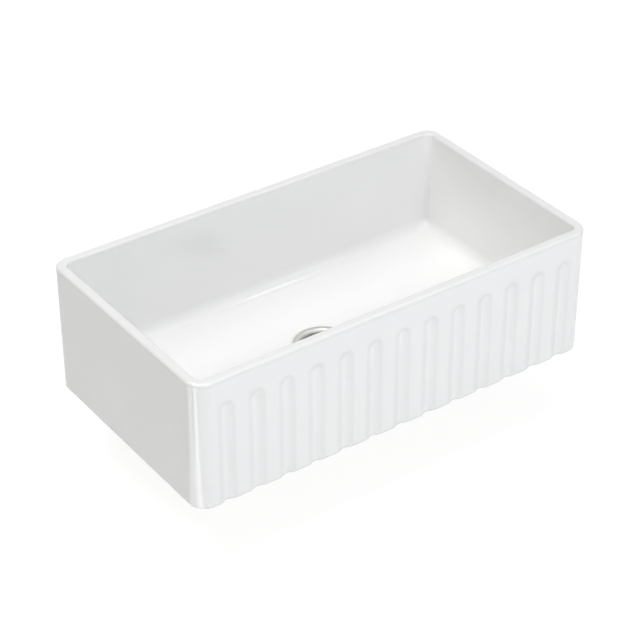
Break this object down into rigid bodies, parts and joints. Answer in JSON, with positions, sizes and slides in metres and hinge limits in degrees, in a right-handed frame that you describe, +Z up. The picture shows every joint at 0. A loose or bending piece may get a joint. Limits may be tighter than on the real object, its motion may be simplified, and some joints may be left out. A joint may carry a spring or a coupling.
{
  "type": "farmhouse_sink",
  "caption": "Farmhouse kitchen sink in white glazed fireclay: one deep bowl, a fluted apron front, and a basket strainer with its tailpiece.",
  "frame": {"origin": "on the drain's axis, in the plane of the foot that the sink stands on", "axes": "+X runs along the apron to the right as seen from in front, -Y points out of the apron, +Z points up"},
  "size_m": [0.8382, 0.4636, 0.3888],
  "materials": {
    "white_glaze": "gloss",
    "steel": "brushed",
    "spring_steel": "satin",
    "black_rubber": "matte",
    "pale_rubber": "matte",
    "fibre": "matte",
    "brass": "satin",
    "chrome": "polished",
    "white_plastic": "matte"
  },
  "bodies": {
    "sink": {"sink_body": "white_glaze", "flange_seal": "pale_rubber", "strainer_body": "steel", "crosspiece": "steel", "drain_gasket": "black_rubber", "friction_ring": "fibre", "locknut": "brass", "tailpiece_washer": "white_plastic", "tailpiece": "chrome", "coupling_nut": "chrome"},
    "stopper": {"stopper_seal": "black_rubber", "seal_washer": "steel", "post_nut": "steel", "basket_post": "steel", "post_clip": "spring_steel", "post_collar": "steel", "basket_knob": "steel"},
    "basket": {"basket_cup": "steel"}
  },
  "joints": [
    {"name": "basket_lift", "type": "slide", "parent": "sink", "child": "stopper", "axis": [0, 0, 1], "range_m": [0, 0.3]},
    {"name": "basket_turn", "type": "hinge", "parent": "stopper", "child": "basket", "pos_m": [0, 0, 0], "axis": [0, 0, 1], "continuous": true}
  ]
}
